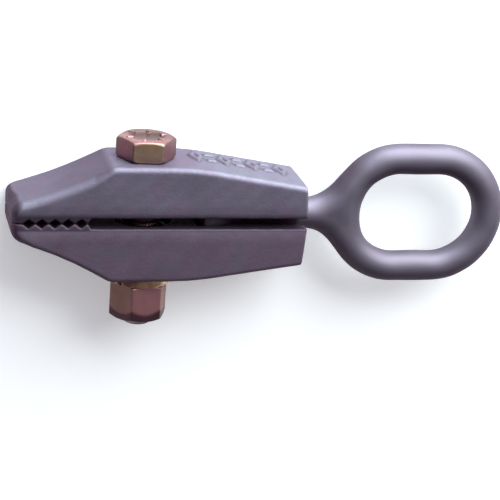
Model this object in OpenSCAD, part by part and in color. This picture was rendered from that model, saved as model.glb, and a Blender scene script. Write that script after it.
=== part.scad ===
// Self-tightening pull clamp: two forged jaws, one through bolt, and a pull eye whose
// tapered head wedges the jaws apart behind the bolt, so that the teeth close as it is pulled.
// The clamp lies on its side: +X runs along its length to the eye, +Y along the bolt to its
// head, and +Z up out of the jaws' side faces. The origin is under the middle of its box.

/* [Jaws] */
// Width of the jaws across the teeth
jaw_w = 36; // [32:0.5:44]
// Distance from the bolt's axis to the nose
nose_x = 60.6; // [54:0.1:66]
// Height of the nose above the parting plane
nose_h = 8.5; // [7:0.1:10]
// Distance from the bolt's axis to the front end of the bolt seat
seat_front_x = 16.4; // [15:0.1:18]
// Distance from the bolt's axis to the rear end of the bolt seat
seat_rear_x = 20.5; // [18:0.5:26]
// Height of the upper jaw's bolt seat above the parting plane
upper_seat_h = 26.1; // [25:0.1:28]
// Height of the lower jaw's bolt seat above the parting plane
lower_seat_h = 28; // [25:0.1:29]
// Distance from the bolt's axis to the jaws' rear end
rear_x = 72.8; // [68:0.1:76]
// Height of the upper jaw's rear end above the parting plane
upper_rear_h = 17.5; // [15:0.1:20]
// Height of the lower jaw's rear end above the parting plane
lower_rear_h = 20; // [15:0.1:21]
// Gap between the jaws' inner faces
jaw_gap = 4.9; // [4.5:0.1:5.5]
// Radius of the long concave front slope
slope_r = 196; // [150:1:400]

/* [Teeth] */
// Distance between two teeth
tooth_pitch = 5.8; // [5:0.1:6.5]
// Number of teeth in each jaw
tooth_count = 5; // [3:1:5]
// Depth of a tooth
tooth_depth = 2.2; // [1.5:0.1:2.3]

/* [Pull eye] */
// Distance from the bolt's axis to the middle of the eye
eye_x = 128.8; // [124:0.1:136]
// Radius of the round ends of the eye's opening
opening_r = 18.8; // [18:0.1:21]
// Length of the eye's straight sides
side_l = 18; // [4:0.5:24]
// Diameter of the bar that the eye is bent from
bar_d = 14.4; // [13:0.1:14.6]
// Diameter of the shank between the jaws
shank_d = 14.4; // [14.4:0.1:15]
// Diameter of the tapered head's wide end
head_d = 23; // [20:0.5:24]

/* [Bolt and nut] */
// Diameter of the bolt's shank
bolt_d = 15.8; // [15:0.1:15.9]
// Length of the bolt under its head
bolt_len = 78.4; // [75:0.1:80]
// Size of the hexagons across their flats
hex_af = 23.8; // [22:0.1:24]
// Height of the bolt's head
bolt_head_h = 10.2; // [9:0.1:11]
// Height of the nut
nut_h = 17.2; // [13:0.1:18]
// Turn of the bolt's head about its own axis
head_turn = -4; // [-30:1:30]
// Turn of the nut about its own axis
nut_turn = 10; // [-30:0.5:30]

/* [Lock washer and spring] */
// Outer diameter of the lock washer
washer_d = 27.4; // [26:0.1:28]
// Thickness of the lock washer
washer_t = 4; // [3:0.1:4.5]
// Diameter of the spring's wire
wire_d = 2.2; // [1.5:0.1:2.4]
// Mean diameter of the spring
spring_d = 21.4; // [20.5:0.1:22]
// Number of turns of the spring
spring_turns = 4; // [3:0.5:5]

/* [Hidden] */
round_fn = 64;
arc_steps = 10;
cut = 1;                                // how far a cutter runs past the face that it opens

half_gap = jaw_gap / 2;
tip_gap = 0.1;                          // from a tooth's tip to the parting plane
rear_draft = 1.1;                       // how far the rear end leans in over its height
nose_r = 2.6;                           // rounding of the nose's outer corner
nose_slope = 16;                        // slope of the outside just behind the nose, in degrees
nose_land = 4.5;                        // flat ahead of the first tooth's tip
nose_side_r = 5;                        // rounding of the nose's upright corners

// the tapered head and the pocket that holds it
pivot_x = 42;                           // the line on which one jaw rocks against the other
open_angle = 6;                         // how far the jaws open, in degrees
head_x = 26;                            // the head's flat front end
head_land = 4;                          // length of the head's cylindrical front part
head_taper = 14;                        // length of its taper
head_chamfer = 1;
head_play = 0.35;                       // clearance around the head and the shank
pocket_front = 2.5;                     // room ahead of the head, for the rocking jaw

// the bolt's hole lets the bolt lean as the jaws open
hole_play = 1.85;
hole_r = bolt_d / 2 + hole_play;
hole_x = -1.4;
spring_play = 1.4;                      // from the spring to the wall of its recess
spring_bore_r = spring_d / 2 + wire_d / 2 + spring_play;
spring_seat = 9.6;                      // from the parting plane to the spring's seat

bar_r = bar_d / 2;
half_rings = 34;                        // rings of points around each end of the eye
bar_sides = 18;                         // points in each ring

opening_x = opening_r + side_l / 2;     // half the opening's length
hex_ac = hex_af / cos(30);
nut_y = -lower_seat_h - washer_t;
root_x = eye_x - opening_x - bar_r;     // the bar's centre where the shank meets the eye
eye_end_x = eye_x + opening_x + bar_d;
bolt_end_y = upper_seat_h - bolt_len;
bolt_top_y = upper_seat_h + bolt_head_h;
mid_x = (eye_end_x - nose_x) / 2;
mid_y = (bolt_top_y + bolt_end_y) / 2;

tooth_rise = 1.5;                       // run-out from the last tooth to the inner face
mark_count = 6;                         // raised bars on the upper jaw's rear slope
mark_l = 3;
mark_w = 15;
mark_h = 0.8;

root_l = 12;                            // length of the flare from the shank to the bar's centre
root_t = 9;                             // its thickness
root_step = 1.4;                        // how far its narrow end stays inside the shank
root_deep = 1;                          // how far its wide end runs past the bar's centre
root_w = 15;                            // half of its wide end
root_lap = 1;                           // how far the shank's own end goes into the bar
root_chamfer = 2;

hex_face_r = 0.46 * hex_af;             // radius of the flat inside a hexagon's chamfer
dish_r = 8;                             // the hollow in the bolt's head
dish = 1.2;                             // its depth
bolt_point = 2;                         // chamfer at the bolt's end
seat_bite = 2;                          // how far the shank runs into the head
thread_play = 0.05;                     // the threads are plain running cylinders
washer_play = 0.3;
washer_split = 1.6;
washer_split_at = 40;
washer_lean = 20;

spring_ease = 0.05;                     // room between the end turns and their seats
turn_rings = 24;                        // rings of points in each of the spring's turns
spring_rings = turn_rings * spring_turns;
wire_sides = 10;

// moves a piece from the bolt's axis and the parting plane to the clamp's own origin
module place() translate([-mid_x, -mid_y, jaw_w / 2]) children();

// turns a shape whose axis is Z so that its axis is X, or Y
module along_x() rotate([0, 90, 0]) children();
module along_y() rotate([-90, 0, 0]) children();

// points on the concave arc of radius r that runs from p to q
function slope_arc(p, q, r) =
    let (m = (p + q) / 2, d = q - p, len = norm(d), h = sqrt(r * r - len * len / 4),
         c = m + h * [d[1], -d[0]] / len,
         a0 = atan2(p[1] - c[1], p[0] - c[0]), a1 = atan2(q[1] - c[1], q[0] - c[0]))
    [for (i = [0:arc_steps]) let (a = a0 + (a1 - a0) * i / arc_steps) c + r * [cos(a), sin(a)]];

// points on the rounded outer corner of the nose
function nose_corner() =
    [for (i = [0:arc_steps]) let (a = 90 + nose_slope + (90 - nose_slope) * i / arc_steps)
        [-nose_x + nose_r + nose_r * cos(a), nose_h - nose_r + nose_r * sin(a)]];

// tips and valleys of the teeth, from the nose backwards
function tooth_line() =
    [for (i = [0:tooth_count - 1], s = [0, 1])
        [nose_land - nose_x + (i + s / 2) * tooth_pitch, s == 0 ? tip_gap : tip_gap + tooth_depth]];

// outline of a jaw above the parting plane
module jaw_outline(seat_h, rear_h) {
    corner = nose_corner();
    last_tip = nose_land - nose_x + tooth_count * tooth_pitch;
    polygon(concat(
        [[rear_x, half_gap], [rear_x - rear_draft, rear_h], [seat_rear_x, seat_h]],
        slope_arc([-seat_front_x, seat_h], corner[0], slope_r),
        corner,
        [[-nose_x, tip_gap]],
        tooth_line(),
        [[last_tip, tip_gap], [last_tip + tooth_rise, half_gap]]));
}

// plan of a jaw seen along the bolt, with the nose's corners rounded
module jaw_plan() {
    r = nose_side_r;
    polygon(concat(
        [[rear_x + cut, -jaw_w / 2], [rear_x + cut, jaw_w / 2]],
        [for (s = [1, -1], i = [0:arc_steps]) let (a = s > 0 ? 90 * i / arc_steps : 90 - 90 * i / arc_steps)
            [r - nose_x - r * sin(a), s * (jaw_w / 2 - r + r * cos(a))]]));
}

// the round pocket of the tapered head and the flared way out for the shank
module eye_pocket() {
    head_r = head_d / 2 + head_play;
    shank_r = shank_d / 2 + head_play;
    taper_x = head_x + head_land + head_taper;
    flare_r = shank_r + (rear_x + cut - pivot_x) * tan(open_angle) + head_play;
    along_x() rotate_extrude($fn = round_fn) polygon([
        [0, head_x - pocket_front], [head_r, head_x - pocket_front], [head_r, head_x + head_land],
        [shank_r, taper_x], [flare_r, rear_x + cut], [0, rear_x + cut]]);
}

// a jaw with its bore, spring recess and pocket, above the parting plane
module jaw(seat_h, rear_h) {
    difference() {
        intersection() {
            linear_extrude(height = jaw_w + 2 * cut, center = true) jaw_outline(seat_h, rear_h);
            along_y() linear_extrude(height = seat_h + cut) jaw_plan();
        }
        translate([hole_x, -cut, 0]) along_y() cylinder(h = seat_h + 2 * cut, r = hole_r, $fn = round_fn);
        translate([0, -cut, 0]) along_y() cylinder(h = spring_seat + cut, r = spring_bore_r, $fn = round_fn);
        eye_pocket();
    }
}

// raised bars across the upper jaw's rear slope
module slope_marks() {
    run = rear_x - rear_draft - seat_rear_x;
    fall = upper_seat_h - upper_rear_h;
    step = run / (mark_count + 1);
    for (i = [1:mark_count])
        translate([seat_rear_x + i * step, upper_seat_h - i * step * fall / run, 0])
            rotate([0, 0, -atan2(fall, run)])
                cube([mark_l, 2 * mark_h, mark_w], center = true);
}

module upper_jaw() color("lightslategray") place() union() {
    jaw(upper_seat_h, upper_rear_h);
    slope_marks();
}

module lower_jaw() color("slategray") place() mirror([0, 1, 0]) jaw(lower_seat_h, lower_rear_h);

// the bar's ring of points at the angle a around the round end whose side is 1, right, or -1, left
function bar_ring(side, a) =
    let (out = [side * cos(a), side * sin(a), 0],
         centre = [eye_x + side * side_l / 2, 0, 0] + (opening_r + bar_r) * out)
    [for (k = [0:bar_sides - 1]) let (b = 360 * (k + 0.5) / bar_sides)
        centre + bar_r * cos(b) * out + bar_r * sin(b) * [0, 0, 1]];

// the round bar, bent into the eye
module eye_bar() {
    n = bar_sides;
    polyhedron(
        points = [for (side = [1, -1], i = [0:half_rings - 1])
            each bar_ring(side, 180 * i / (half_rings - 1) - 90)],
        faces = [for (i = [0:2 * half_rings - 1], k = [0:n - 1]) let (j = (i + 1) % (2 * half_rings))
            [i * n + k, i * n + (k + 1) % n, j * n + (k + 1) % n, j * n + k]],
        convexity = 6);
}

// the flared root where the shank opens into the eye
module eye_root() {
    side = shank_d / 2 - root_step;
    linear_extrude(height = root_t, center = true) polygon([
        [root_x - root_l, side], [root_x + root_deep, root_w], [root_x + root_deep, -root_w],
        [root_x - root_l, -side]]);
}

// tapered head, shank and oval eye, forged in one piece
module pull_eye() color("darkgray") place() {
    taper_x = head_x + head_land + head_taper;
    union() {
        eye_bar();
        eye_root();
        along_x() rotate_extrude($fn = round_fn) polygon([
            [0, head_x], [head_d / 2 - head_chamfer, head_x], [head_d / 2, head_x + head_chamfer],
            [head_d / 2, head_x + head_land], [shank_d / 2, taper_x],
            [shank_d / 2, root_x - root_lap], [shank_d / 2 - root_chamfer, root_x], [0, root_x]]);
    }
}

// a hexagonal prism along +Y from the origin, chamfered at its far end
module hex_block(h, turn) along_y() intersection() {
    rotate([0, 0, turn]) cylinder(h = h, d = hex_ac, $fn = 6);
    rotate_extrude($fn = round_fn) polygon([
        [0, -cut], [hex_ac, -cut], [hex_ac, h - (hex_ac - hex_face_r) * tan(30)],
        [hex_face_r, h], [0, h]]);
}

module clamp_bolt() color("rosybrown") place() {
    difference() {
        translate([0, upper_seat_h, 0]) hex_block(bolt_head_h, head_turn);
        translate([0, bolt_top_y - dish, 0]) along_y()
            cylinder(h = 2 * dish, r1 = dish_r - dish, r2 = dish_r + dish, $fn = round_fn);
    }
    translate([0, bolt_end_y, 0]) along_y() rotate_extrude($fn = round_fn) polygon([
        [0, 0], [bolt_d / 2 - bolt_point, 0], [bolt_d / 2, bolt_point],
        [bolt_d / 2, bolt_len + seat_bite], [0, bolt_len + seat_bite]]);
}

module clamp_nut() color("indianred") place() difference() {
    translate([0, nut_y, 0]) mirror([0, 1, 0]) hex_block(nut_h, nut_turn);
    translate([0, nut_y - nut_h - cut, 0]) along_y()
        cylinder(h = nut_h + 2 * cut, r = bolt_d / 2 + thread_play, $fn = round_fn);
}

// split lock washer
module lock_washer() color("peru") place() translate([0, nut_y, 0]) along_y() difference() {
    cylinder(h = washer_t, d = washer_d, $fn = round_fn);
    translate([0, 0, -cut]) cylinder(h = washer_t + 2 * cut, r = bolt_d / 2 + washer_play, $fn = round_fn);
    rotate([washer_lean, 0, washer_split_at]) translate([0, -washer_split / 2, -washer_d])
        cube([washer_d, washer_split, 2 * washer_d]);
}

// centre line of the spring, which starts and ends on the jaws' spring seats
function spring_point(t) =
    let (a = 360 * spring_turns * t, y = (2 * t - 1) * (spring_seat - wire_d / 2 - spring_ease))
    [spring_d / 2 * cos(a), y, spring_d / 2 * sin(a)];

// points of the wire's ring number i
function wire_ring(i) =
    let (t = i / spring_rings, p = spring_point(t), a = 360 * spring_turns * t, out = [cos(a), 0, sin(a)])
    [for (k = [0:wire_sides - 1]) let (b = 360 * k / wire_sides)
        p + wire_d / 2 * (cos(b) * out + sin(b) * [0, 1, 0])];

// coil spring that pushes the jaws apart
module jaw_spring() color("dimgray") place() {
    n = wire_sides;
    polyhedron(
        points = [for (i = [0:spring_rings]) each wire_ring(i)],
        faces = concat(
            [[for (k = [0:n - 1]) k]],
            [[for (k = [0:n - 1]) spring_rings * n + n - 1 - k]],
            [for (i = [0:spring_rings - 1], k = [0:n - 1])
                [i * n + k, (i + 1) * n + k, (i + 1) * n + (k + 1) % n, i * n + (k + 1) % n]]),
        convexity = 6);
}

upper_jaw();
lower_jaw();
pull_eye();
clamp_bolt();
clamp_nut();
lock_washer();
jaw_spring();
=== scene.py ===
"""Looks of the self-tightening pull clamp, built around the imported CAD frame.

Shapes are worked out in millimetres in the clamp's own axes: x runs from the bolt's axis to the
pull eye, y from the parting plane to the bolt's head, and z up from the middle of the jaws' width.
A forging, the bolt and the nut are each a field: a function that is about the distance to the
surface, in millimetres, and negative inside. Its mesh follows the field's zero.
"""
import math

import bpy
import numpy as np
from mathutils import Matrix, Vector


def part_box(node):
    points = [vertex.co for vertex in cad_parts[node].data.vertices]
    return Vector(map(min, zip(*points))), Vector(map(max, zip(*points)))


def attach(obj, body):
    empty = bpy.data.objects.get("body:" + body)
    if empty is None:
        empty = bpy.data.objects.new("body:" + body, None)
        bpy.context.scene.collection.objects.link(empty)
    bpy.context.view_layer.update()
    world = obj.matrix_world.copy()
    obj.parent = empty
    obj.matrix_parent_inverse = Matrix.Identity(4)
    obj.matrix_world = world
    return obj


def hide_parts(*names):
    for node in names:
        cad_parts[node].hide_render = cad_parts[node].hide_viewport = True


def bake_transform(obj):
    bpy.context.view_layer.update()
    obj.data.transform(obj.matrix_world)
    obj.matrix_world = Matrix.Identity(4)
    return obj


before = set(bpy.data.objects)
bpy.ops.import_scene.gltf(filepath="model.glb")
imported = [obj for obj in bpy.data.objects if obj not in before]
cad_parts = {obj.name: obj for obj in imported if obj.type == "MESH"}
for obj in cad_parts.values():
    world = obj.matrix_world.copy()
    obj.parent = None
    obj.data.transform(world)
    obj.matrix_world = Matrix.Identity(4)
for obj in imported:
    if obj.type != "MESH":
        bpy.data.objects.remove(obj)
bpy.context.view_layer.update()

MM = 0.001

# ---------------------------------------------------------------- places taken from the frame

bolt_low, bolt_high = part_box("clamp_bolt")
jaw_low, jaw_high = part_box("upper_jaw")
lower_low, lower_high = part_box("lower_jaw")
nut_low, nut_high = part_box("clamp_nut")
eye_low, eye_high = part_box("pull_eye")
washer_low, washer_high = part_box("lock_washer")
spring_low, spring_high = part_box("jaw_spring")

ORIGIN = np.array([(bolt_low.x + bolt_high.x) / 2, (jaw_low.y + lower_high.y) / 2,
                   (jaw_low.z + jaw_high.z) / 2]) / MM

HALF_W = (jaw_high.z - jaw_low.z) / MM / 2
NOSE_X = ORIGIN[0] - jaw_low.x / MM       # from the nose back to the bolt's axis
REAR_X = jaw_high.x / MM - ORIGIN[0]
UPPER_SEAT = jaw_high.y / MM - ORIGIN[1]
LOWER_SEAT = ORIGIN[1] - lower_low.y / MM
HEAD_TOP = bolt_high.y / MM - ORIGIN[1]
BOLT_END = bolt_low.y / MM - ORIGIN[1]
NUT_TOP = nut_high.y / MM - ORIGIN[1]
NUT_END = nut_low.y / MM - ORIGIN[1]
WASHER_R = (washer_high.x - washer_low.x) / MM / 2
EYE_END = eye_high.x / MM - ORIGIN[0]
EYE_HALF_H = (eye_high.y - eye_low.y) / MM / 2
SPRING_SEAT = (spring_high.y - spring_low.y) / MM / 2

# ---------------------------------------------------------------- sizes of the jaws

HALF_GAP = 2.45                           # from the parting plane to a jaw's inner face
TIP_GAP = 0.12                            # the same at the teeth's tips
NOSE_H = 8.5
NOSE_SLOPE = math.tan(math.radians(15))   # of the front slope at the nose
SEAT_FRONT = -16.4
SEAT_REAR = 20.5
FRONT_BLEND = 1.2
REAR_BLEND = 1.6
UPPER_REAR_H = 17.5
LOWER_REAR_H = 20.0
REAR_LEAN = 0.07
CROWN = 0.35                              # drop of the outside from its middle to its sides
DRAFT = 0.012                             # slope of the sides
DRAFT_START = 4.0                         # height above which the sides slope

NOSE_SIDE_R = 5.2                         # rounding of the nose's upright corners
UPPER_EDGES = (2.6, 4.2, 2.6)             # roundings of the outside, its front slope and its nose
LOWER_EDGES = (2.0, 2.0, 4.4)
EDGE_CHANGE = 8.0                         # length over which the outside's rounding changes
TIP_START = 10.0                          # the nose's rounding starts here behind the nose
TIP_FULL = 3.0
REAR_R = 1.0
BEVEL_R = 0.8
TOOTH_R = 0.35
BORE_R = 0.8
RECESS_R = 0.5
POCKET_R = 0.8

BEVEL = 2.6                               # height of the bevel along the inner face
BEVEL_WAY = (0.17, 0.985)                 # how far the bevel faces inwards and sideways
TOOTH_START = 4.5 - NOSE_X
TOOTH_PITCH = 5.8
TOOTH_COUNT = 5
TOOTH_END = TOOTH_START + TOOTH_COUNT * TOOTH_PITCH
TOOTH_DEPTH = 2.2
TOOTH_SOFT = 0.1                          # rounding of a tooth's tip, as a share of its depth
TOOTH_RUN_OUT = 1.5
TOOTH_STEEP = 0.81                        # turns a height above the teeth into a distance

HOLE_R = 9.75                             # of the bolt's hole, with room for the jaw to rock
HOLE_X = -1.4
SPRING_BORE_R = 13.2

MARK_COUNT = 7
MARK_START = 23.5
MARK_STEP = 6.6
MARK_Z = -3.5
MARK_HALF_L = 8.0
MARK_HIGH = 0.8
LOZENGE_HALF_W = 3.4
LOZENGE_HOLE = 0.36                       # size of a lozenge's hole as a share of the lozenge
LOZENGE_STEEP = 2.8
BAR_HALF_L = 2.1
BAR_HALF_W = 1.3
BAR_PLACE = 0.55                          # of a bar, as a share of MARK_HALF_L
MARK_R = 0.7
MARK_FILLET = 1.1
FAR = 99.0                                # farther than any mark

# ---------------------------------------------------------------- sizes of the bolt, nut and washer

BOLT_R = 7.9
HEX_AF = 23.8                             # across the flats
HEX_R = 0.5
HEX_REACH = 14.0                          # just past the hexagon's corners
HEAD_TURN = 4.0                           # in degrees
NUT_TURN = -10.0
HEAD_CHAMFER_R = 10.9
HEAD_CHAMFER = math.tan(math.radians(62))
HEAD_FOOT_R = 12.6
HEAD_FOOT_SLOPE = 0.9
HEAD_LIFT = 0.03                          # keeps the head off the jaw's waves
SHANK_IN_HEAD = 1.5
POINT_CHAMFER = 2.2
THREAD_PITCH = 25.4 / 11
THREAD_DEPTH = 1.25
THREAD_START = -2.0                       # heights where the thread starts and is at its full depth
THREAD_FULL = -4.5
THREAD_FLATS = (0.096, 0.896)             # ends of the flat crest and the V, as shares of half a pitch
THREAD_STEEP = 0.8                        # turns a radius above the thread into a distance
DISH = 1.2                                # depth of the hollow in the head's top
DISH_R = 8.2
DISH_STEEP = 0.8
GRADE_COUNT = 6
GRADE_R = 8.2
GRADE_HIGH = 0.4
GRADE_HALF_W = 0.9
GRADE_HALF_L = 1.6
GRADE_HALF_T = 1.0
GRADE_TURN = 0.25                         # as a share of the way from one line to the next
NUT_CHAMFER = math.tan(math.radians(60))
NUT_END_R = 11.3
NUT_TOP_R = 12.6
NUT_PLAY = 0.3
NUT_SINK = 0.7
NUT_DROP = 0.02                           # keeps the nut off the washer

WASHER_T = 4.0
WASHER_PLAY = 0.35
WASHER_CORNER = 0.6
CORNER_STEPS = 4
WASHER_GAP = 1.6
WASHER_SPLIT_AT = 140.0                   # in degrees
WASHER_SLANT = 0.16                       # lean of the split over the thickness, in radians

WIRE_R = 1.1
COIL_R = 10.7
COIL_TURNS = 4.0
COIL_EVEN = 0.35                          # share of the coil's climb that is even along the wire
COIL_END = 0.12                           # share of the wire in each flat end

# ---------------------------------------------------------------- sizes of the eye and its pocket

HEAD_X = 26.0
HEAD_R = 11.5
HEAD_LAND = 30.0                          # where the head's taper starts
HEAD_EDGE = 1.2
HEAD_FILLET = 1.5
HEAD_OVERLAP = 2.0                        # from the head's face to the shank's start inside it
TAPER_OVERLAP = 1.0                       # length of the taper's field inside the shank
TAPER = 0.307
TAPER_END = 44.0
SHANK_R = 7.2
BAR_R = 7.2
OPENING_R = 18.8
SIDE_HALF = 9.0                           # half the straight part of the oval
ROOT_FILLET = 14.0
EYE_X = EYE_END - SIDE_HALF - OPENING_R - 2 * BAR_R
ROOT_X = EYE_X - SIDE_HALF - OPENING_R - BAR_R

POCKET_PLAY = 0.35
POCKET_FRONT = 23.5
POCKET_TAPER = 0.3
FLARE_START = 42.0
FLARE_OVERLAP = 6.0                       # how far the flare reaches in front of the taper's end
FLARE_SLOPE = math.tan(math.radians(6))

# ---------------------------------------------------------------- surface waves, painted shade and fineness

FORGED_WAVES = (7, 11, 17, 29)            # lengths of the waves left by forging, in mm
EYE_WAVES = (11, 17, 29)
PLATED_WAVES = (5, 8, 13)
FORGED_DEPTH = 0.1
PLATED_DEPTH = 0.05

NOSE_FACING = (0.2154, 0.6)               # shares of the normal where the painted shade starts and is full
NUT_FACING = (0.1765, 0.7647)
NOSE_SIDE_SHADE = 0.8                          # strengths of the painted shade, up to 1 for nothing but the shade colour
NUT_SIDE_SHADE = 0.65
# painted shade in the gap between the jaws
GAP_SHADE = 0.75
MARK_SHADE = 0.12
BOLT_END_SHADE = 0.8
HEAD_FOOT_SHADE = 0.6
DISH_SHADE = 0.5
BACK_SHADE = 0.45
SIDE_SHADE = 0.42
HEAD_FACING_SHADE = 0.6
NUT_END_SHADE = 0.84

PROBE = 0.05                              # step for a field's slope, in mm
FLATTEST = 0.05                           # least square of a slope that a point is moved by
COARSENESS = 1.0   # of the meshes

# ---------------------------------------------------------------- colours

# colour of the painted shade in gaps, hollows and on the sides turned from the light
PAINTED_SHADE_COLOUR = (0.047, 0.023, 0.038)
EDGE_TINT = (0.8, 0.68, 0.77, 1)          # of the reflections at a grazing angle
TINT_SHARE = 0.6                          # of the tint on a face that looks fully its way
HOLLOW_SHADE = 0.45                       # share of the dark colour painted as shade in the hollows

UPPER_COLOURS = {
    "dark": (0.164, 0.142, 0.191),
    "light": (0.204, 0.18, 0.235),
    "edge": (0.29, 0.27, 0.33),
    "patch": (0.205, 0.146, 0.21),
    # painted light: a paler, bluer tint on faces that look towards the eye, where the light falls
    "facing": (("X", 0.08, 0.17, (0.228, 0.23, 0.277)),),
}
LOWER_COLOURS = {
    "dark": (0.157, 0.107, 0.15),
    "light": (0.193, 0.138, 0.188),
    "edge": (0.23, 0.185, 0.24),
    "patch": (0.158, 0.132, 0.172),
    # painted light: a paler, bluer tint on faces that look towards the bolt's head, where the light falls
    "facing": (("Y", 0.05, 0.15, (0.195, 0.178, 0.235)),),
}
EYE_DARK = (0.174, 0.147, 0.188)
EYE_LIGHT = (0.213, 0.189, 0.23)
WIRE_DARK = (0.035, 0.033, 0.036)
WIRE_LIGHT = (0.09, 0.085, 0.09)

PINK = (0.36, 0.18, 0.18)
ROSE = (0.6, 0.29, 0.3)
OLIVE = (0.4, 0.3, 0.17)
STRAW = (0.52, 0.4, 0.24)
GOLD = (0.75, 0.56, 0.3)
MAUVE = (0.43, 0.17, 0.21)
BROWN = (0.36, 0.17, 0.14)
# umber and wine: darker plating colours, laid on the nose side as painted shade
UMBER = (0.28, 0.18, 0.12)
WINE = (0.13, 0.01, 0.045)
# painted shade on the washer's nose side
WASHER_SIDE_SHADE = (0.15, 0.07, 0.06)
# painted shade on faces that look towards the nut
UNDERSIDE_SHADE = (0.05, 0.02, 0.03)
WORN_PLATING = (0.5, 0.36, 0.33)

SKY_DARK = (0.173, 0.152, 0.184)
SKY_LIGHT = (1.1, 1.25, 1.4)


# ---------------------------------------------------------------- tools for fields

def fade(value, none, full):
    """A share that goes from 0 where the value is none to 1 where it is full."""
    return np.clip((value - none) / (full - none), 0, 1)


def rounded(a, b, r):
    """Intersection of two fields, with their common edge rounded to the radius r."""
    u = np.maximum(a + r, 0)
    v = np.maximum(b + r, 0)
    return np.minimum(np.maximum(a, b), -r) + np.sqrt(u * u + v * v)


def blended(a, b, k):
    """Union of two fields, or the lower of two heights, with a soft fillet of the size k."""
    h = np.clip(0.5 + 0.5 * (b - a) / k, 0, 1)
    return b + (a - b) * h - k * h * (1 - h)


def cone(rho, radius, along, slope):
    """A cone's field at the distance rho from its axis; the radius grows by the slope along the axis."""
    return (rho - radius - along * slope) / math.sqrt(1 + slope ** 2)


def ripples(x, y, z, lengths, depth, seed):
    """Hollows of up to twice the depth: waves in random directions, each of its own length, in mm."""
    rng = np.random.default_rng(seed)
    total = 0
    for length in lengths:
        way = rng.normal(size=3)
        way *= 2 * math.pi / length / np.linalg.norm(way)
        total = total + np.sin(way[0] * x + way[1] * y + way[2] * z + rng.uniform(0, 2 * math.pi))
    return depth + total * depth / len(lengths)


# ---------------------------------------------------------------- fields of the jaws

def jaw_height(x, seat, rear_h):
    """Height of a jaw's outside: concave front slope, flat bolt seat, long rear slope."""
    u = x + NOSE_X
    run = SEAT_FRONT + NOSE_X
    bend = (seat - NOSE_H - NOSE_SLOPE * run) / run ** 2
    front = NOSE_H + NOSE_SLOPE * u + bend * u * np.abs(u)
    rear = seat - (x - SEAT_REAR) * (seat - rear_h) / (REAR_X - SEAT_REAR)
    return blended(blended(front, seat, FRONT_BLEND), rear, REAR_BLEND)


def inner_height(x):
    """Height of a jaw's inside: teeth at the nose, then the relieved flat face."""
    along = (x - TOOTH_START) / TOOTH_PITCH
    wave = 1 - np.abs(2 * (along - np.floor(along)) - 1)
    wave = np.sqrt(wave ** 2 + TOOTH_SOFT ** 2) - TOOTH_SOFT
    teeth = TIP_GAP + TOOTH_DEPTH * wave
    flat = TIP_GAP + (HALF_GAP - TIP_GAP) * fade(x, TOOTH_END, TOOTH_END + TOOTH_RUN_OUT)
    return np.where(along < 0, TIP_GAP, np.where(x > TOOTH_END, flat, teeth))


def pocket(x, y, z):
    """The round pocket of the tapered head, and the flared way out for the shank."""
    rho = np.hypot(y, z)
    head = HEAD_R + POCKET_PLAY - rho
    taper = SHANK_R + POCKET_PLAY + (TAPER_END - x) * POCKET_TAPER - rho
    flare = SHANK_R + 2 * POCKET_PLAY + (x - FLARE_START) * FLARE_SLOPE - rho
    way_out = np.minimum(flare, x - TAPER_END + FLARE_OVERLAP)
    inside = np.maximum(np.minimum(head, taper), way_out)
    return -np.minimum(inside, x - POCKET_FRONT)


def mark_outline(x, z):
    """Outline of a row of raised lozenges, with a pair of short bars between each two."""
    flat = np.full_like(x, FAR)
    w = z - MARK_Z
    for i in range(MARK_COUNT):
        u = x - MARK_START - MARK_STEP * i
        if i % 2 == 0:
            reach = np.abs(u) / LOZENGE_HALF_W + np.abs(w) / MARK_HALF_L
            shape = np.maximum(reach - 1, LOZENGE_HOLE - reach) * LOZENGE_STEEP
        else:
            across = np.abs(np.abs(w) - BAR_PLACE * MARK_HALF_L) - BAR_HALF_W
            shape = np.maximum(np.abs(u) - BAR_HALF_L, across)
        flat = np.minimum(flat, shape)
    return flat


def edge_rounding(x, z, edges):
    """Rounding of a jaw's outside: its own along the front slope's near side and at the nose."""
    edge, slope_edge, nose_edge = edges
    near_slope = fade(x, SEAT_FRONT, SEAT_FRONT - EDGE_CHANGE) * fade(z, -EDGE_CHANGE / 2, EDGE_CHANGE / 2)
    nose = fade(x, TIP_START - NOSE_X, TIP_FULL - NOSE_X)
    return edge + (slope_edge - edge) * near_slope + (nose_edge - edge) * nose


def jaw_outside(x, y, z, seat, rear_h):
    """Field of a jaw's long outside face alone."""
    step = 0.5
    slope = (jaw_height(x + step, seat, rear_h) - jaw_height(x - step, seat, rear_h)) / (2 * step)
    crown = CROWN * (z / HALF_W) ** 2
    return (y - jaw_height(x, seat, rear_h) + crown) / np.sqrt(1 + slope ** 2)


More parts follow.
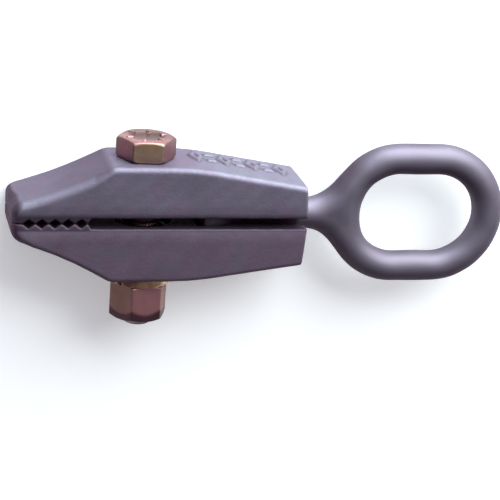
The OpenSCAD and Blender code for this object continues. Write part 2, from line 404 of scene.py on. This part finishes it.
def jaw_field(seat, rear_h, edges, marks, seed):
    """The field of a jaw above the parting plane, with or without the raised marks."""
    def field(x, y, z):
        outside = jaw_outside(x, y, z, seat, rear_h)
        side = np.abs(z) - HALF_W
        plan = rounded(side + DRAFT * np.maximum(y - DRAFT_START, 0), -NOSE_X - x, NOSE_SIDE_R)
        d = rounded(outside, plan, edge_rounding(x, z, edges))
        rear = (x - REAR_X + REAR_LEAN * (y - HALF_GAP)) / math.sqrt(1 + REAR_LEAN ** 2)
        d = rounded(d, rear, REAR_R)
        d = rounded(d, side * BEVEL_WAY[1] + (BEVEL - y + HALF_GAP) * BEVEL_WAY[0], BEVEL_R)
        steep = np.where(x < TOOTH_END + TOOTH_RUN_OUT, TOOTH_STEEP, 1.0)
        d = rounded(d, (inner_height(x) - y) * steep, TOOTH_R)
        d = rounded(d, HOLE_R - np.hypot(x - HOLE_X, z), BORE_R)
        recess = np.maximum(np.hypot(x, z) - SPRING_BORE_R, y - SPRING_SEAT)
        d = rounded(d, -recess, RECESS_R)
        d = rounded(d, -pocket(x, y, z), POCKET_R)
        if marks:
            mark = rounded(mark_outline(x, z), np.abs(outside) - MARK_HIGH, MARK_R)
            d = blended(d, mark, MARK_FILLET)
        return d + ripples(x, y, z, FORGED_WAVES, FORGED_DEPTH, seed)
    return field


# ---------------------------------------------------------------- fields of the eye, bolt and nut

def eye_field(x, y, z):
    """The forged pull eye: tapered head, shank, flared root and oval bar."""
    turn = np.hypot(np.maximum(np.abs(x - EYE_X) - SIDE_HALF, 0), y)
    bar = np.abs(turn - OPENING_R - BAR_R) - BAR_R
    shank = np.maximum(np.abs(y) - SHANK_R, x - ROOT_X)
    plan = blended(shank, bar, ROOT_FILLET)
    whole = np.hypot(np.maximum(plan + BAR_R, 0), z) - BAR_R
    whole = np.maximum(whole, HEAD_X + HEAD_OVERLAP - x)
    taper = cone(np.hypot(y, z), HEAD_R, np.maximum(x - HEAD_LAND, 0), -TAPER)
    head = rounded(taper, np.maximum(HEAD_X - x, x - TAPER_END - TAPER_OVERLAP), HEAD_EDGE)
    return blended(whole, head, HEAD_FILLET) + ripples(x, y, z, EYE_WAVES, FORGED_DEPTH, seed=5)


def hexagon(x, z, turn):
    """A hexagonal bar along y, turned about its axis by some degrees."""
    c, s = math.cos(math.radians(turn)), math.sin(math.radians(turn))
    u, v = c * x + s * z, c * z - s * x
    flats = []
    for degrees in (90, 150, 210):
        a = math.radians(degrees)
        flats.append(np.abs(math.cos(a) * u + math.sin(a) * v) - HEX_AF / 2)
    return rounded(rounded(flats[0], flats[1], HEX_R), flats[2], HEX_R)


def thread(x, y, z, major, depth):
    """Radius of a right-hand V thread, with flat crests and roots, whose axis is y."""
    phase = y / THREAD_PITCH - np.arctan2(-z, x) / (2 * math.pi)
    wave = np.abs(2 * (phase - np.floor(phase)) - 1)
    return major - depth * fade(wave, *THREAD_FLATS)


def grade_lines(x, y, z):
    """Short raised bars around the rim of the bolt's head, like its grade marks."""
    rho = np.hypot(x, z)
    place = np.arctan2(z, x) / (2 * math.pi) * GRADE_COUNT + GRADE_TURN
    across = np.abs(place - np.round(place)) / GRADE_COUNT * 2 * math.pi * rho
    bar = np.maximum(across - GRADE_HALF_W, np.abs(rho - GRADE_R) - GRADE_HALF_L)
    return rounded(bar, np.abs(y - HEAD_TOP + GRADE_HALF_T) - GRADE_HALF_T, r=0.3)


def bolt_head_field(x, y, z):
    """The bolt's head, chamfered on top and at its foot, with a hollow and raised lines on top."""
    rho = np.hypot(x, z)
    chamfer = cone(rho, HEAD_CHAMFER_R, y - HEAD_TOP, -HEAD_CHAMFER)
    d = rounded(hexagon(x, z, HEAD_TURN), chamfer, r=0.8)
    dish = HEAD_TOP - GRADE_HIGH - DISH * np.clip(1 - (rho / DISH_R) ** 4, 0, 1)
    d = rounded(d, (y - dish) * DISH_STEEP, r=0.5)
    d = blended(d, grade_lines(x, y, z), k=0.3)
    d = rounded(d, cone(rho, HEAD_FOOT_R, y - UPPER_SEAT, HEAD_FOOT_SLOPE), r=0.4)
    d = rounded(d, UPPER_SEAT + HEAD_LIFT - y, r=0.25)
    return d + ripples(x, y, z, PLATED_WAVES, PLATED_DEPTH, seed=11)


def shank_field(x, y, z):
    """The bolt's shank, whose thread starts between the jaws, with a chamfered point."""
    rho = np.hypot(x, z)
    depth = THREAD_DEPTH * fade(y, THREAD_START, THREAD_FULL)
    d = (rho - thread(x, y, z, BOLT_R, depth)) * THREAD_STEEP
    d = rounded(d, cone(rho, BOLT_R - POINT_CHAMFER, y - BOLT_END, 1), r=0.2)
    return rounded(d, np.maximum(BOLT_END - y, y - UPPER_SEAT - SHANK_IN_HEAD), r=0.3)


def nut_field(x, y, z):
    """The nut, chamfered at both ends, with its thread and the thread's countersinks."""
    rho = np.hypot(x, z)
    d = rounded(hexagon(x, z, NUT_TURN), cone(rho, NUT_END_R, y - NUT_END, NUT_CHAMFER), r=0.5)
    d = rounded(d, cone(rho, NUT_TOP_R, NUT_TOP - y, NUT_CHAMFER), r=0.4)
    d = rounded(d, np.maximum(NUT_END - y, y - NUT_TOP + NUT_DROP), r=0.4)
    hole = (rho - thread(x, y, z, BOLT_R + NUT_PLAY, THREAD_DEPTH)) * THREAD_STEEP
    sink = cone(rho, BOLT_R + NUT_SINK, np.minimum(y - NUT_END, NUT_TOP - y), -1)
    d = rounded(d, -np.minimum(hole, sink), r=0.2)
    return d + ripples(x, y, z, PLATED_WAVES, PLATED_DEPTH, seed=17)


# ---------------------------------------------------------------- meshes from fields

def edge_sums(values, inside, axis):
    """The grid edges along the axis that cross the surface: for each, the four cells around it, the
    crossing point, and whether the edge leads out of the solid."""
    shape = np.array(values.shape)
    first = [slice(None)] * 3
    second = [slice(None)] * 3
    first[axis] = slice(0, shape[axis] - 1)
    second[axis] = slice(1, None)
    index = np.argwhere(inside[tuple(first)] != inside[tuple(second)])
    f0 = values[tuple(first)][tuple(index.T)]
    f1 = values[tuple(second)][tuple(index.T)]
    points = index.astype(float)
    points[:, axis] += f0 / (f0 - f1)
    u, v = (axis + 1) % 3, (axis + 2) % 3
    around = []
    for du, dv in ((0, 0), (1, 0), (1, 1), (0, 1)):
        cell = index.copy()
        cell[:, u] -= du
        cell[:, v] -= dv
        around.append(cell)
    return np.stack(around, 1), points, f0 < 0


def surface_net(values):
    """Vertices, in grid steps, and quads of the zero surface of a grid of values."""
    inside = values < 0
    shape = np.array(values.shape)
    total = np.zeros((shape.prod(), 3))
    count = np.zeros(shape.prod())
    quads = []
    for axis in range(3):
        cells, points, outward = edge_sums(values, inside, axis)
        flat = np.ravel_multi_index(tuple(np.moveaxis(cells, 2, 0)), tuple(shape))
        for k in range(4):
            np.add.at(total, flat[:, k], points)
            np.add.at(count, flat[:, k], 1)
        quads.append(np.where(outward[:, None], flat, flat[:, ::-1]))
    used = np.flatnonzero(count)
    number = np.zeros(len(count), int)
    number[used] = np.arange(len(used))
    return total[used] / count[used, None], number[np.concatenate(quads)]


def neighbour_mean(values, edges, count):
    """Mean of each vertex's neighbours, for every column of the values."""
    out = np.zeros_like(values)
    for k in range(values.shape[1]):
        out[:, k] = (np.bincount(edges[:, 0], values[edges[:, 1], k], len(values))
                     + np.bincount(edges[:, 1], values[edges[:, 0], k], len(values)))
    return out / count[:, None]


def gradient(field, points):
    """The field's slope along x, y and z at each point."""
    columns = []
    for k in range(3):
        shift = np.zeros(3)
        shift[k] = PROBE
        columns.append(field(*(points + shift).T) - field(*(points - shift).T))
    return np.stack(columns, 1) / (2 * PROBE)


def relaxed(field, points, edges, count, step):
    """The points, evened out along the surface and drawn back onto it."""
    points += 0.5 * (neighbour_mean(points, edges, count) - points)
    slope = gradient(field, points)
    size = np.maximum((slope ** 2).sum(1), FLATTEST)
    return points - (np.clip(field(*points.T), -step, step) / size)[:, None] * slope


def edge_wear(points, normal, edges, count, step):
    """How far the surface bends at each point, from -1, hollow, to 1, edge, evened out a little; it drives
    edge wear and the painted shade in hollows.
    """
    bend = -((neighbour_mean(points, edges, count) - points) * normal).sum(1) * 4 / step ** 2
    wear = bend[:, None]
    for _ in range(4):
        wear = 0.5 * wear + 0.5 * neighbour_mean(wear, edges, count)
    return np.clip(wear[:, 0], -1, 1)


def mesh_from_field(field, low, high, step):
    """Points in mm, quads, normals, and the bend for edge wear and painted hollow shade, of the surface of a
    field.
    """
    step *= COARSENESS
    axes = [np.arange(lo - 2 * step, hi + 3 * step, step) for lo, hi in zip(low, high)]
    grid = np.meshgrid(*axes, indexing="ij")
    values = field(*(g.ravel() for g in grid)).reshape(grid[0].shape)
    points, quads = surface_net(values)
    points = points * step + np.array([a[0] for a in axes])
    sides = np.concatenate([quads[:, [k, (k + 1) % 4]] for k in range(4)])
    edges = np.unique(np.sort(sides, 1), axis=0)
    count = np.bincount(edges.ravel(), minlength=len(points)).astype(float)
    for _ in range(3):
        points = relaxed(field, points, edges, count, step)
    slope = gradient(field, points)
    normal = slope / np.maximum(np.linalg.norm(slope, axis=1), 1e-6)[:, None]
    return points, quads, normal, edge_wear(points, normal, edges, count, step)


# ---------------------------------------------------------------- painted shade

def facing_stain(normal):
    """Painted shade on the surfaces that face the nose or the nut, by how much they do."""
    nose = NOSE_SIDE_SHADE * fade(-normal[:, 0], *NOSE_FACING)
    nut = NUT_SIDE_SHADE * fade(-normal[:, 1], *NUT_FACING)
    return 1 - (1 - nose) * (1 - nut)


def jaw_stain(points, normal, spread=0.6):
    """Painted shade in the gap between the jaws, thinning out above it over the spread, and on the sides that
    face the nose or the nut.
    """
    shade_top = HALF_GAP + 0.65
    gap = GAP_SHADE * fade(np.abs(points[:, 1]), shade_top + spread, shade_top)
    return np.maximum(facing_stain(normal), gap)


def marked_jaw_stain(points, normal):
    """Painted shade in the gap and around the raised marks, and no painted shade on the nose side from the
    marks on.
    """
    x, y, z = points.T
    from_mark_edge = np.abs(mark_outline(x, z) - 0.3)
    mark_shade = MARK_SHADE * fade(from_mark_edge, 1.2, 0.2) * fade(y, 12, 13)
    ahead = normal.copy()
    ahead[x >= SEAT_REAR, 0] = 0
    return np.maximum(jaw_stain(points, ahead, 2.0), mark_shade)


def eye_stain(points, normal):
    """Painted shade on the part of the eye between the jaws, and on its root and underside."""
    x = points[:, 0]
    scaled = normal * [0.7, 1.2, 1.0]         # less painted shade towards the nose, more underneath
    scaled[:, 0] *= fade(x, EYE_X, EYE_X - 15)
    inside = fade(x, REAR_X - 1, REAR_X - 3) * np.clip(fade(x, HEAD_LAND + 3, HEAD_LAND + 11), 0.1, 0.85)
    return np.maximum(facing_stain(scaled), inside)


def shank_stain(points, normal):
    """Painted shade on the bolt between the jaws and at its end."""
    y = points[:, 1]
    between = GAP_SHADE * fade(np.abs(y), 12, 10)
    return np.maximum(between, BOLT_END_SHADE * fade(y, NUT_END + 2, NUT_END + 1))


def head_stain(points, normal):
    """Painted shade around the foot of the bolt's head, in its hollow, on top at the back and on the eye's
    side.
    """
    x, y, z = points.T
    nx, ny = normal[:, 0], normal[:, 1]
    foot = HEAD_FOOT_SHADE * fade(y, UPPER_SEAT + 4, UPPER_SEAT) * fade(nx, 0.6, -0.4)
    low = fade(y, HEAD_TOP - 2.5, HEAD_TOP - 1.5)
    hollow = DISH_SHADE * fade(np.hypot(x, z), DISH_R - 0.4, DISH_R - 1.6) * low
    back = BACK_SHADE * fade(z - 0.5 * x, 4, -2) * fade(ny, 0, 0.5)
    side = SIDE_SHADE * fade(nx, 0.1875, 0.8125)
    unshaded = (1 - foot) * (1 - hollow) * (1 - back) * (1 - side)
    return 1 - unshaded * (1 - HEAD_FACING_SHADE * facing_stain(normal))


def nut_stain(points, normal):
    """Painted shade on the nut's lower end, higher up at its corners, and less of it on its nose side."""
    x, y, z = points.T
    corner = np.hypot(x, z) - HEX_AF / 2
    low = NUT_END_SHADE * fade(y - 1.3 * corner, NUT_END + 4.6, NUT_END + 3)
    return np.maximum(low, facing_stain(normal * [0.48, 1, 1]))


# ---------------------------------------------------------------- objects

def add_object(name, points, faces, **layers):
    """A mesh object from points in mm in the clamp's own axes."""
    mesh = bpy.data.meshes.new(name)
    world = (np.asarray(points) + ORIGIN) * MM
    mesh.from_pydata(world.tolist(), [], faces)
    mesh.validate()
    mesh.shade_smooth()
    for layer_name, values in layers.items():
        layer = mesh.attributes.new(layer_name, "FLOAT", "POINT")
        layer.data.foreach_set("value", np.asarray(values, np.float32))
    piece = bpy.data.objects.new(name, mesh)
    bpy.context.scene.collection.objects.link(piece)
    return piece


def field_object(name, field, low, high, stain, step, mirrored=False):
    """A mesh object of a field between two corners, with its bend for edge wear and painted hollow shade, and
    its layer of painted shade; the step is its fineness.
    """
    points, quads, normal, wear = mesh_from_field(field, low, high, step)
    if mirrored:
        points = points * [1, -1, 1]
        normal = normal * [1, -1, 1]
        quads = quads[:, ::-1]
    return add_object(name, points, quads.tolist(), wear=wear, stain=stain(points, normal))


def swept(name, rings):
    """A closed tube through rings of points, each of the same number, in mm."""
    rings = np.asarray(rings)
    n, m = rings.shape[:2]
    faces = []
    for i in range(n - 1):
        for k in range(m):
            j = (k + 1) % m
            faces.append([i * m + k, i * m + j, (i + 1) * m + j, (i + 1) * m + k])
    faces.append([m - 1 - k for k in range(m)])
    faces.append([(n - 1) * m + k for k in range(m)])
    return add_object(name, rings.reshape(-1, 3), faces)


def finish_piece(piece, material, body, node):
    """The piece's material and slot, the body it rides on and the CAD node it stands for."""
    piece.data.materials.append(material)
    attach(piece, body)
    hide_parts(node)


# ---------------------------------------------------------------- shader nodes

def new_material(name):
    """A material with its node tree and an empty principled shader."""
    material = bpy.data.materials.new(name)
    material.use_nodes = True
    tree = material.node_tree
    tree.nodes.clear()
    shader = tree.nodes.new("ShaderNodeBsdfPrincipled")
    output = tree.nodes.new("ShaderNodeOutputMaterial")
    tree.links.new(shader.outputs[0], output.inputs[0])
    return material, tree, shader


def coordinates(tree, kind="Object"):
    """Socket of the texture coordinates of a kind, at first the object's own place."""
    return tree.nodes.new("ShaderNodeTexCoord").outputs[kind]


def noise(tree, where, scale, detail, rough, warp=0.0):
    """Socket of a noise pattern; the scale is in waves per metre."""
    node = tree.nodes.new("ShaderNodeTexNoise")
    node.inputs["Scale"].default_value = scale
    node.inputs["Detail"].default_value = detail
    node.inputs["Roughness"].default_value = rough
    node.inputs["Distortion"].default_value = warp
    tree.links.new(where, node.inputs["Vector"])
    return node.outputs["Fac"]


def ramp(tree, value, stops):
    """Socket of a colour that changes with the value through pairs of place and colour."""
    node = tree.nodes.new("ShaderNodeValToRGB")
    elements = node.color_ramp.elements
    while len(elements) < len(stops):
        elements.new(0.5)
    for element, (place, colour) in zip(elements, stops):
        element.position = place
        element.color = (*colour, 1)
    tree.links.new(value, node.inputs[0])
    return node.outputs[0]


def span(tree, value, low, high, to_low=0.0, to_high=1.0):
    """Socket of the value, moved from the span low to high onto another span, and held in it."""
    node = tree.nodes.new("ShaderNodeMapRange")
    for slot, number in zip(("From Min", "From Max", "To Min", "To Max"), (low, high, to_low, to_high)):
        node.inputs[slot].default_value = number
    tree.links.new(value, node.inputs["Value"])
    return node.outputs[0]


def mixed(tree, share, a, b):
    """Socket of a mix of two colours, each a socket or plain numbers, by the share of the second."""
    node = tree.nodes.new("ShaderNodeMix")
    node.data_type = "RGBA"
    tree.links.new(share, node.inputs[0])
    for slot, value in ((6, a), (7, b)):
        if isinstance(value, bpy.types.NodeSocket):
            tree.links.new(value, node.inputs[slot])
        else:
            node.inputs[slot].default_value = (*value, 1)
    return node.outputs[2]


def product(tree, a, b):
    """Socket of the product of two sockets."""
    node = tree.nodes.new("ShaderNodeMath")
    node.operation = "MULTIPLY"
    tree.links.new(a, node.inputs[0])
    tree.links.new(b, node.inputs[1])
    return node.outputs[0]


def bumped(tree, shader, heights):
    """Bump from pairs of height and depth in metres."""
    normal = None
    for height, depth in heights:
        node = tree.nodes.new("ShaderNodeBump")
        node.inputs["Distance"].default_value = depth
        tree.links.new(height, node.inputs["Height"])
        if normal is not None:
            tree.links.new(normal, node.inputs["Normal"])
        normal = node.outputs[0]
    tree.links.new(normal, shader.inputs["Normal"])


def layer_value(tree, name):
    """Socket of one of the mesh's layers."""
    node = tree.nodes.new("ShaderNodeAttribute")
    node.attribute_name = name
    return node.outputs["Fac"]


def stained(tree, colour, shader):
    """The colour under its layer of painted shade, wired to the shader."""
    tree.links.new(mixed(tree, layer_value(tree, "stain"), colour, PAINTED_SHADE_COLOUR), shader.inputs["Base Color"])


def tinted(tree, base, facing):
    """The base colour with a tint for each axis, by how far the surface faces along it, low to high."""
    for axis, low, high, tint in facing:
        parts = tree.nodes.new("ShaderNodeSeparateXYZ")
        tree.links.new(coordinates(tree, "Normal"), parts.inputs[0])
        base = mixed(tree, span(tree, parts.outputs[axis], low, high, 0.0, TINT_SHARE), base, tint)
    return base


# ---------------------------------------------------------------- materials

def forged_steel(name, dark, light, edge, patch, facing):
    """Forged and blasted steel with faint scale stains, brighter where its edges are worn, with painted shade
    in its hollows and a painted light tint on the faces that look towards the light.
    """
    material, tree, shader = new_material(name)
    where = coordinates(tree)
    drift = noise(tree, where, scale=48, detail=4, rough=0.5, warp=0.3)
    patches = noise(tree, where, scale=110, detail=3, rough=0.5)
    grit = noise(tree, where, scale=1700, detail=3, rough=0.6)
    pits = noise(tree, where, scale=480, detail=4, rough=0.6)
    wear = layer_value(tree, "wear")
    colour = ramp(tree, drift, ((0.32, dark), (0.68, light)))
    colour = mixed(tree, span(tree, patches, 0.5, 0.62, 0.0, 0.6), colour, patch)
    # painted light: tints on the faces that look towards the light
    colour = tinted(tree, colour, facing)
    colour = mixed(tree, span(tree, grit, 0.4, 0.8, 0.0, 0.22), colour, edge)
    # painted shade: the dark colour, darker still, in the hollows
    hollow = [HOLLOW_SHADE * c for c in dark]
    colour = mixed(tree, span(tree, wear, -0.05, -0.5, 0.0, 0.6), colour, hollow)
    worn = product(tree, span(tree, wear, 0.2, 0.9), span(tree, pits, 0.3, 0.6, 0.15, 0.5))
    stained(tree, mixed(tree, worn, colour, edge), shader)
    shader.inputs["Metallic"].default_value = 0.8
    shader.inputs["Specular Tint"].default_value = EDGE_TINT
    tree.links.new(span(tree, pits, 0.2, 0.8, 0.56, 0.66), shader.inputs["Roughness"])
    bumped(tree, shader, ((grit, 0.00005), (pits, 0.00008)))
    return material


def satin_steel(name, dark, light):
    """Smooth forged and tumbled steel."""
    material, tree, shader = new_material(name)
    where = coordinates(tree)
    patches = noise(tree, where, scale=40, detail=4, rough=0.5, warp=0.3)
    fine = noise(tree, where, scale=1100, detail=3, rough=0.5)
    stained(tree, ramp(tree, patches, ((0.3, dark), (0.7, light))), shader)
    shader.inputs["Metallic"].default_value = 0.88
    shader.inputs["Specular Tint"].default_value = EDGE_TINT
    tree.links.new(span(tree, patches, 0.25, 0.75, 0.56, 0.64), shader.inputs["Roughness"])
    bumped(tree, shader, ((fine, 0.00002), (patches, 0.0001)))
    return material


def zinc_plating(name, stops, facing, shift, rough):
    """Yellow chromate plating, whose tint drifts and differs with the way that a face looks, partly as
    painted light and shade.

    The shift moves the pattern, so that each piece has its own."""
    material, tree, shader = new_material(name)
    mapping = tree.nodes.new("ShaderNodeMapping")
    mapping.inputs["Location"].default_value = (shift, 2 * shift, 0.5 * shift)
    tree.links.new(coordinates(tree), mapping.inputs["Vector"])
    where = mapping.outputs[0]
    drift = noise(tree, where, scale=120, detail=3, rough=0.5, warp=0.8)
    fine = noise(tree, where, scale=1300, detail=3, rough=0.55)
    colour = tinted(tree, ramp(tree, drift, stops), facing)
    worn = span(tree, layer_value(tree, "wear"), 0.4, 1.0, 0.0, 0.25)
    stained(tree, mixed(tree, worn, colour, WORN_PLATING), shader)
    shader.inputs["Metallic"].default_value = 0.92
    tree.links.new(span(tree, drift, 0.2, 0.8, rough, rough + 0.12), shader.inputs["Roughness"])
    bumped(tree, shader, ((fine, 0.00004),))
    return material


def spring_wire(name):
    """Dark oiled wire."""
    material, tree, shader = new_material(name)
    stain = noise(tree, coordinates(tree), scale=300, detail=3, rough=0.55)
    colour = ramp(tree, stain, ((0.3, WIRE_DARK), (0.7, WIRE_LIGHT)))
    tree.links.new(colour, shader.inputs["Base Color"])
    shader.inputs["Metallic"].default_value = 0.9
    tree.links.new(span(tree, stain, 0.2, 0.8, 0.3, 0.45), shader.inputs["Roughness"])
    bumped(tree, shader, ((stain, 0.00005),))
    return material


# ---------------------------------------------------------------- pieces

def make_upper_jaw():
    """The jaw on the head's side, with the raised marks."""
    shape = jaw_field(UPPER_SEAT, UPPER_REAR_H, UPPER_EDGES, marks=True, seed=3)
    low = (-NOSE_X, 0, -HALF_W)
    high = (REAR_X, UPPER_SEAT + MARK_HIGH, HALF_W)
    piece = field_object("upper_jaw_forging", shape, low, high, marked_jaw_stain, step=0.5)
    material = forged_steel("upper_forging", **UPPER_COLOURS)
    finish_piece(piece, material, "upper_jaw", "upper_jaw")


def make_lower_jaw():
    """The jaw on the nut's side, made the other way up and mirrored."""
    shape = jaw_field(LOWER_SEAT, LOWER_REAR_H, LOWER_EDGES, marks=False, seed=8)
    low = (-NOSE_X, 0, -HALF_W)
    high = (REAR_X, LOWER_SEAT, HALF_W)
    piece = field_object("lower_jaw_forging", shape, low, high, jaw_stain, step=0.55, mirrored=True)
    material = forged_steel("lower_forging", **LOWER_COLOURS)
    finish_piece(piece, material, "lower_jaw", "lower_jaw")


def make_eye():
    """The pull eye in one forging."""
    low = (HEAD_X, -EYE_HALF_H, -HEAD_R)
    high = (EYE_END, EYE_HALF_H, HEAD_R)
    piece = field_object("pull_eye_forging", eye_field, low, high, eye_stain, step=0.7)
    material = satin_steel("eye_forging", EYE_DARK, EYE_LIGHT)
    finish_piece(piece, material, "pull_eye", "pull_eye")


def make_bolt():
    """The bolt's head and shank, which share their plating."""
    stops = ((0.32, MAUVE), (0.48, BROWN), (0.62, OLIVE))
    # painted light by face: wine on the nose side and the underside colour are painted shade, pink on top is
    # a painted highlight; straw and mauve tint the front and the eye's side
    facing = (("X", -0.4, -0.7, WINE), ("Z", 0.8, 0.95, STRAW), ("X", 0.4, 0.7, MAUVE),
              ("Y", 0.5, 0.9, PINK), ("Y", -0.3, -0.7, UNDERSIDE_SHADE))
    material = zinc_plating("bolt_zinc", stops, facing, shift=0.31, rough=0.36)
    low = (-HEX_REACH, UPPER_SEAT, -HEX_REACH)
    high = (HEX_REACH, HEAD_TOP, HEX_REACH)
    head = field_object("bolt_head", bolt_head_field, low, high, head_stain, step=0.38)
    low = (-BOLT_R, BOLT_END, -BOLT_R)
    high = (BOLT_R, UPPER_SEAT + SHANK_IN_HEAD, BOLT_R)
    shank = field_object("bolt_shank", shank_field, low, high, shank_stain, step=0.32)
    for piece in (head, shank):
        finish_piece(piece, material, "clamp_bolt", "clamp_bolt")


def make_nut():
    """The nut, turned a little from the head."""
    stops = ((0.32, MAUVE), (0.5, BROWN), (0.7, PINK))
    # painted light by face: umber on the nose side and the underside colour are painted shade; rose tints the
    # front
    facing = (("X", -0.55, -0.8, UMBER), ("Z", 0.7, 0.95, ROSE), ("Y", -0.3, -0.7, UNDERSIDE_SHADE))
    low = (-HEX_REACH, NUT_END, -HEX_REACH)
    high = (HEX_REACH, NUT_TOP, HEX_REACH)
    piece = field_object("hex_nut", nut_field, low, high, nut_stain, step=0.38)
    material = zinc_plating("nut_zinc", stops, facing, shift=0.77, rough=0.38)
    finish_piece(piece, material, "clamp_nut", "clamp_nut")


def washer_section(inner, outer):
    """Radius and height of the points around the washer's bar, with rounded corners."""
    points = []
    flat = WASHER_T / 2 - WASHER_CORNER
    inner += WASHER_CORNER
    outer -= WASHER_CORNER
    for quarter, (r, h) in enumerate(((outer, flat), (inner, flat), (inner, -flat), (outer, -flat))):
        for k in range(CORNER_STEPS + 1):
            a = math.radians(90 * (quarter + k / CORNER_STEPS))
            points.append((r + WASHER_CORNER * math.cos(a), h + WASHER_CORNER * math.sin(a)))
    return points


def make_washer():
    """Split lock washer: a rounded bar wound once, its ends cut on a slant."""
    inner = BOLT_R + WASHER_PLAY
    half_gap = WASHER_GAP / (inner + WASHER_R)
    start = math.radians(WASHER_SPLIT_AT) + half_gap
    turn = 2 * math.pi - 2 * half_gap
    middle = NUT_TOP + WASHER_T / 2
    steps = 120
    rings = []
    for i in range(steps + 1):
        ring = []
        for r, h in washer_section(inner, WASHER_R):
            a = start + turn * i / steps + h / WASHER_T * WASHER_SLANT
            ring.append((r * math.cos(a), middle + h, r * math.sin(a)))
        rings.append(ring)
    piece = swept("split_lock_washer", rings)
    stops = ((0.32, GOLD), (0.56, BROWN), (0.7, GOLD))
    # painted shade: a dark red on the side that faces the nose
    facing = (("X", 0.0, -0.5, WASHER_SIDE_SHADE),)
    material = zinc_plating("washer_zinc", stops, facing, shift=1.3, rough=0.34)
    finish_piece(piece, material, "clamp_nut", "lock_washer")


def make_spring():
    """Coil spring with ground end turns; the real one stretches as the jaws open."""
    steps, sides = 200, 14
    rings = []
    for i in range(steps + 1):
        t = i / steps
        climb = fade(t, COIL_END, 1 - COIL_END)
        climb = COIL_EVEN * climb + (1 - COIL_EVEN) * climb * climb * (3 - 2 * climb)
        y = (SPRING_SEAT - WIRE_R) * (2 * climb - 1)
        a = 2 * math.pi * COIL_TURNS * t
        ring = []
        for k in range(sides):
            b = 2 * math.pi * k / sides
            r = COIL_R + WIRE_R * math.cos(b)
            height = np.clip(y + WIRE_R * math.sin(b), -SPRING_SEAT, SPRING_SEAT)
            ring.append((r * math.cos(a), height, r * math.sin(a)))
        rings.append(ring)
    piece = swept("coil_spring", rings)
    piece.data.materials.append(spring_wire("spring_wire"))
    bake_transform(piece)
    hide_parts("jaw_spring")


# ---------------------------------------------------------------- floor, lights and camera, in metres

FLOOR_HALF = 3.0
VIEW_WAY = Vector((-0.2247, 0.3238, 0.9191))       # from the clamp to the camera
VIEW_RIGHT = Vector((0.9744, 0.0719, 0.2129))      # the picture's right
VIEW_DISTANCE = 0.8747
VIEW_AIM = (51.1, -18.3, 0.0)                      # in mm, in the clamp's own axes
LENS = 136.9                                       # in mm, as the sensor's width
SENSOR_WIDTH = 36


def make_floor():
    """A pale floor that glows a little, so that it stays white under the clamp's shadow."""
    r = FLOOR_HALF
    mesh = bpy.data.meshes.new("floor")
    mesh.from_pydata([(-r, -r, 0), (r, -r, 0), (r, r, 0), (-r, r, 0)], [], [(0, 1, 2, 3)])
    floor = bpy.data.objects.new("floor", mesh)
    bpy.context.scene.collection.objects.link(floor)
    material, _, shader = new_material("pale_floor")
    shader.inputs["Base Color"].default_value = (0.9, 0.9, 0.9, 1)
    shader.inputs["Emission Color"].default_value = (1, 1, 1, 1)
    shader.inputs["Emission Strength"].default_value = 0.32
    shader.inputs["Roughness"].default_value = 0.9
    mesh.materials.append(material)


def make_light(name, place, target, size, power, colour):
    """A square lamp of a size, in metres, and a power, in watts, that faces its target."""
    data = bpy.data.lights.new(name, "AREA")
    data.size = size
    data.energy = power
    data.color = colour
    light = bpy.data.objects.new(name, data)
    light.location = place
    light.rotation_euler = (Vector(target) - Vector(place)).to_track_quat("-Z", "Y").to_euler()
    bpy.context.scene.collection.objects.link(light)


def make_world():
    """A dim room, brighter towards the horizon behind the bolt's head."""
    world = bpy.data.worlds.new("studio")
    world.use_nodes = True
    tree = world.node_tree
    parts = tree.nodes.new("ShaderNodeSeparateXYZ")
    tree.links.new(coordinates(tree, "Generated"), parts.inputs[0])
    share = span(tree, parts.outputs["Y"], 0.15, 0.9)
    tree.links.new(mixed(tree, share, SKY_DARK, SKY_LIGHT), tree.nodes["Background"].inputs["Color"])
    bpy.context.scene.world = world


def make_camera():
    """The camera, which looks down on the clamp's side from the nose's side."""
    data = bpy.data.cameras.new("camera")
    data.lens = LENS
    data.sensor_width = SENSOR_WIDTH
    camera = bpy.data.objects.new("camera", data)
    back = VIEW_WAY.normalized()
    up = back.cross(VIEW_RIGHT).normalized()
    right = up.cross(back)
    place = Vector((ORIGIN + VIEW_AIM) * MM) + back * VIEW_DISTANCE
    turn = Matrix((right, up, back)).transposed().to_4x4()
    camera.matrix_world = Matrix.Translation(place) @ turn
    bpy.context.scene.collection.objects.link(camera)
    bpy.context.scene.camera = camera


bpy.context.scene.view_settings.view_transform = "Standard"
make_camera()
make_world()
make_floor()
make_light("key", place=(0.65, 1.0, 0.62), target=(0, 0, 0), size=1.3, power=34, colour=(0.93, 1.0, 1.0))
make_light("rim", place=(0.1, 1.0, 0.1), target=(0, 0, 0.01), size=0.5, power=11, colour=(0.78, 0.96, 1.0))
make_upper_jaw()
make_lower_jaw()
make_eye()
make_bolt()
make_nut()
make_washer()
make_spring()
